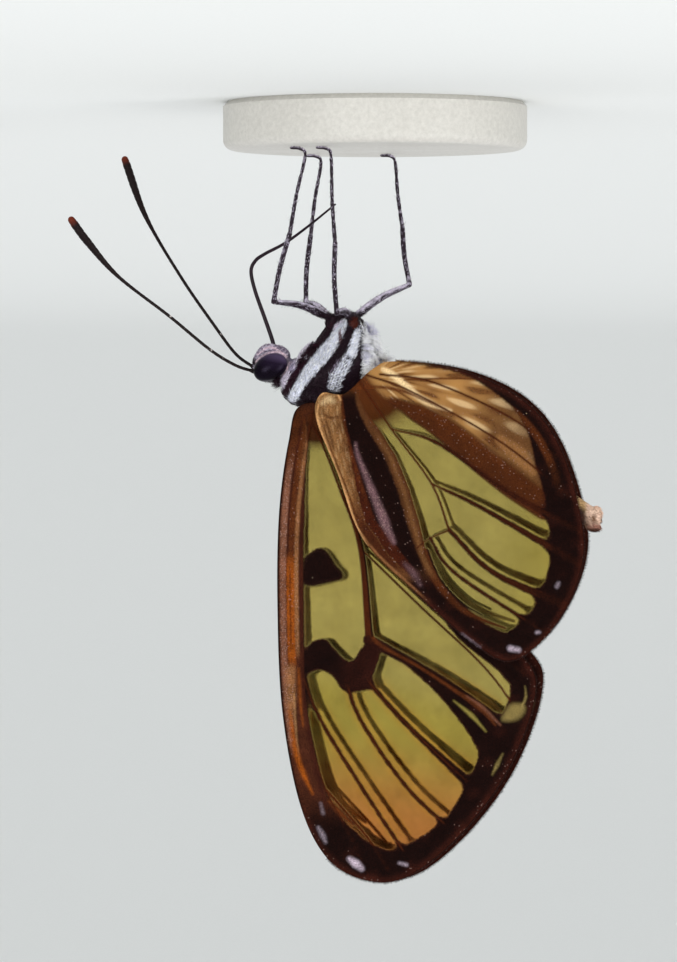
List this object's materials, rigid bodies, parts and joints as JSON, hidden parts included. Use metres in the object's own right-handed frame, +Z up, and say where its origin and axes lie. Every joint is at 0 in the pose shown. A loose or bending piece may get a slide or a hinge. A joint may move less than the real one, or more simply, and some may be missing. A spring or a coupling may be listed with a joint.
{
  "type": "glasswing butterfly",
  "caption": "Life-size glasswing butterfly model, standing with closed clear wings on a plain round base.",
  "frame": {"origin": "under the middle of the model, at the level the base rests on", "axes": "+X towards the head, +Y to the butterfly's left, +Z up through the closed wings"},
  "size_m": [0.0334, 0.019, 0.0487],
  "materials": {
    "wing_membrane": "amber clear film with dark brown scaled borders, veins and spots",
    "body_scales": "black-brown scales with white stripes",
    "abdomen_scales": "brown scales, pinkish at the tip",
    "eye_glaze": "glossy purple-black",
    "limb_scales": "dark purple-brown with pale scales",
    "feeler": "satin black with a rust-brown tip",
    "base_resin": "plain pale resin"
  },
  "bodies": {
    "root": {"abdomen": "abdomen_scales", "antenna_left": "feeler", "antenna_right": "feeler", "collar": "body_scales", "eye_left": "eye_glaze", "eye_right": "eye_glaze", "foreleg_left": "limb_scales", "foreleg_right": "limb_scales", "forewing_left": "wing_membrane", "forewing_right": "wing_membrane", "head": "body_scales", "hindleg_left_femur": "limb_scales", "hindleg_left_tarsus": "limb_scales", "hindleg_left_tibia": "limb_scales", "hindleg_right_femur": "limb_scales", "hindleg_right_tarsus": "limb_scales", "hindleg_right_tibia": "limb_scales", "hindwing_left": "wing_membrane", "hindwing_right": "wing_membrane", "midleg_left_femur": "limb_scales", "midleg_left_tarsus": "limb_scales", "midleg_left_tibia": "limb_scales", "midleg_right_femur": "limb_scales", "midleg_right_tarsus": "limb_scales", "midleg_right_tibia": "limb_scales", "palp_left": "body_scales", "palp_right": "body_scales", "proboscis_base": "feeler", "proboscis_tip": "feeler", "stand_base": "base_resin", "thorax": "body_scales"}
  },
  "joints": []
}
